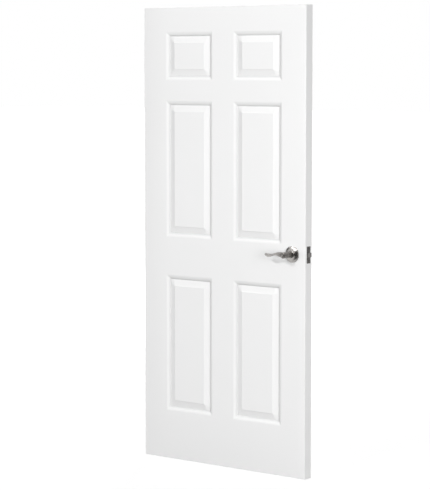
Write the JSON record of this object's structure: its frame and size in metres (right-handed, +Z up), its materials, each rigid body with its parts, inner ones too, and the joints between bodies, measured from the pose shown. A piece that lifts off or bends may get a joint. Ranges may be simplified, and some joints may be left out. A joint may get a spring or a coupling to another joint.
{
  "type": "fibreboard door",
  "caption": "White moulded fibreboard door leaf with raised panels, a nickel lever latch set and butt hinges.",
  "frame": {"origin": "middle of the leaf's bottom edge: half its width and half its thickness", "axes": "+Z up along the leaf, +X towards the latch edge, -Y out of the front face"},
  "size_m": [0.9333, 0.1879, 2.032],
  "materials": {
    "painted_fibreboard": "satin",
    "painted_timber": "satin",
    "particleboard": "matte",
    "nickel": "satin",
    "hinge_nickel": "satin",
    "zinc_steel": "satin",
    "spring_steel": "satin"
  },
  "bodies": {
    "jamb_leaves": {"bottom_hinge_jamb_leaf": "hinge_nickel", "bottom_hinge_pin": "hinge_nickel", "middle_hinge_jamb_leaf": "hinge_nickel", "middle_hinge_pin": "hinge_nickel", "top_hinge_jamb_leaf": "hinge_nickel", "top_hinge_pin": "hinge_nickel"},
    "lever_set": {"front_lever": "nickel", "rear_lever": "nickel", "spindle": "zinc_steel", "latch_hub": "zinc_steel", "set_screws": "zinc_steel"},
    "bolt": {"latch_bolt": "nickel"},
    "button": {"push_button": "nickel"},
    "door": {"front_skin": "painted_fibreboard", "rear_skin": "painted_fibreboard", "hinge_stile": "painted_timber", "lock_stile": "painted_timber", "top_rail": "painted_timber", "bottom_rail": "painted_timber", "core": "particleboard", "front_rose": "nickel", "rear_rose": "nickel", "latch_faceplate": "nickel", "faceplate_screws": "nickel", "bottom_hinge_door_leaf": "hinge_nickel", "middle_hinge_door_leaf": "hinge_nickel", "top_hinge_door_leaf": "hinge_nickel", "hinge_screws": "hinge_nickel", "mount_screws": "zinc_steel", "latch_case": "zinc_steel", "front_mount_plate": "zinc_steel", "rear_mount_plate": "zinc_steel", "latch_spring": "spring_steel", "front_return_spring": "spring_steel", "rear_return_spring": "spring_steel"}
  },
  "joints": [
    {"name": "door_swing", "type": "hinge", "parent": "jamb_leaves", "child": "door", "pos_m": [-0.4587, 0.0349, 0], "axis": [0, 0, 1], "range_deg": [0, 180]},
    {"name": "lever_turn", "type": "hinge", "parent": "door", "child": "lever_set", "pos_m": [0.3872, 0, 0.9695], "axis": [0, -1, 0], "range_deg": [0, 55], "stiffness_Nm_per_rad": 0.9, "springref_deg": -40.11, "deforming": ["front_return_spring", "rear_return_spring"]},
    {"name": "bolt_slide", "type": "slide", "parent": "door", "child": "bolt", "axis": [-1, 0, 0], "range_m": [0, 0.0108], "deforming": ["latch_spring"]},
    {"name": "button_push", "type": "slide", "parent": "lever_set", "child": "button", "axis": [0, 1, 0], "range_m": [0, 0.003], "stiffness_N_per_m": 400, "springref_m": -0.004}
  ],
  "couplings": [
    {"joint": "bolt_slide", "follows": "lever_turn", "m_per_rad": 0.011147}
  ]
}
